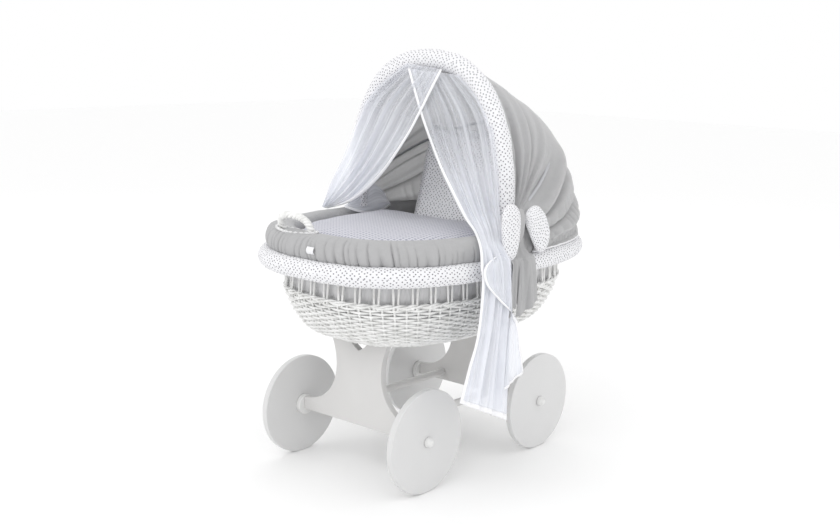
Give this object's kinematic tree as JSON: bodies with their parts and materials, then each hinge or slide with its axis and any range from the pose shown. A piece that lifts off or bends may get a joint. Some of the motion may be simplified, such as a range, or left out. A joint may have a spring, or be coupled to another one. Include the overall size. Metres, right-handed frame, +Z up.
{
  "type": "bassinet on stand",
  "caption": "Oval white wicker bassinet with padded grey and dotted textiles, a folding bow hood with a tulle veil, on a lacquered board stand with solid disc wheels.",
  "frame": {"origin": "on the floor, under the middle of the basket", "axes": "+X towards the hood's (head) end, +Y across, +Z up"},
  "size_m": [0.894, 0.652, 1.0228],
  "materials": {
    "lacquered_board": "satin white lacquer on board",
    "wheel_lacquer": "satin white lacquer on board discs",
    "white_fittings": "moulded white fittings",
    "zinc_steel": "zinc plated steel",
    "painted_wicker": "white painted willow",
    "grey_cotton": "plain weave grey cotton",
    "canopy_cotton": "plain weave grey cotton, single layer",
    "dotted_cotton": "white cotton with small dark grey dots",
    "waffle_cotton": "pale grey cotton with a fine waffle",
    "foam_cover": "white cotton cover on foam",
    "label_tape": "plain white tape",
    "veil_tulle": "fine white tulle with a satin hem"
  },
  "bodies": {
    "stand": {"foot_panel": "lacquered_board", "head_panel": "lacquered_board", "dowel_near": "lacquered_board", "dowel_far": "lacquered_board", "dowel_screw_foot_near": "zinc_steel", "dowel_screw_foot_far": "zinc_steel", "dowel_screw_head_near": "zinc_steel", "dowel_screw_head_far": "zinc_steel", "axle_bolt_foot_near": "zinc_steel", "axle_bolt_foot_far": "zinc_steel", "axle_bolt_head_near": "zinc_steel", "axle_bolt_head_far": "zinc_steel", "wheel_spacer_foot_near": "white_fittings", "wheel_spacer_foot_far": "white_fittings", "wheel_spacer_head_near": "white_fittings", "wheel_spacer_head_far": "white_fittings", "axle_cap_foot_near": "white_fittings", "axle_cap_foot_far": "white_fittings", "axle_cap_head_near": "white_fittings", "axle_cap_head_far": "white_fittings"},
    "wheel_foot_near": {"wheel_foot_near": "wheel_lacquer"},
    "wheel_foot_far": {"wheel_foot_far": "wheel_lacquer"},
    "wheel_head_near": {"wheel_head_near": "wheel_lacquer"},
    "wheel_head_far": {"wheel_head_far": "wheel_lacquer"},
    "basket": {"hood_bracket_near": "zinc_steel", "hood_bracket_far": "zinc_steel", "hood_pivot_bolt_near": "zinc_steel", "hood_pivot_bolt_far": "zinc_steel", "hood_pivot_nut_near": "zinc_steel", "hood_pivot_nut_far": "zinc_steel", "bracket_screw_near_1": "zinc_steel", "bracket_screw_near_2": "zinc_steel", "bracket_screw_far_1": "zinc_steel", "bracket_screw_far_2": "zinc_steel", "rear_bow": "zinc_steel", "wicker_wall": "painted_wicker", "wicker_floor": "painted_wicker", "handle_foot": "painted_wicker", "handle_head": "painted_wicker", "bumper_ring": "grey_cotton", "lining": "grey_cotton", "ribbon_knot": "grey_cotton", "ribbon_tail_foot": "grey_cotton", "ribbon_tail_head": "grey_cotton", "canopy_rear": "canopy_cotton", "padded_roll": "dotted_cotton", "ribbon_lobe_foot": "dotted_cotton", "ribbon_lobe_head": "dotted_cotton", "pillow": "dotted_cotton", "duvet": "waffle_cotton", "mattress": "foam_cover", "blank_label": "label_tape", "veil_tail": "veil_tulle"},
    "hood_front": {"front_bow": "zinc_steel", "front_bow_pad": "dotted_cotton", "canopy_front": "canopy_cotton", "veil_near": "veil_tulle", "veil_far": "veil_tulle"}
  },
  "joints": [
    {"name": "wheel_foot_near_spin", "type": "hinge", "parent": "stand", "child": "wheel_foot_near", "pos_m": [-0.2355, -0.21, 0.125], "axis": [0, 1, 0], "continuous": true},
    {"name": "wheel_foot_far_spin", "type": "hinge", "parent": "stand", "child": "wheel_foot_far", "pos_m": [-0.2355, 0.21, 0.125], "axis": [0, 1, 0], "continuous": true},
    {"name": "wheel_head_near_spin", "type": "hinge", "parent": "stand", "child": "wheel_head_near", "pos_m": [0.2115, -0.21, 0.125], "axis": [0, 1, 0], "continuous": true},
    {"name": "wheel_head_far_spin", "type": "hinge", "parent": "stand", "child": "wheel_head_far", "pos_m": [0.2115, 0.21, 0.125], "axis": [0, 1, 0], "continuous": true},
    {"name": "basket_lift", "type": "slide", "parent": "stand", "child": "basket", "axis": [0, 0, 1], "range_m": [0, 0.25]},
    {"name": "hood_fold", "type": "hinge", "parent": "basket", "child": "hood_front", "pos_m": [0, 0, 0.64], "axis": [0, 1, 0], "range_deg": [0, 31], "deforming": ["canopy_front", "veil_near", "veil_far"]}
  ]
}
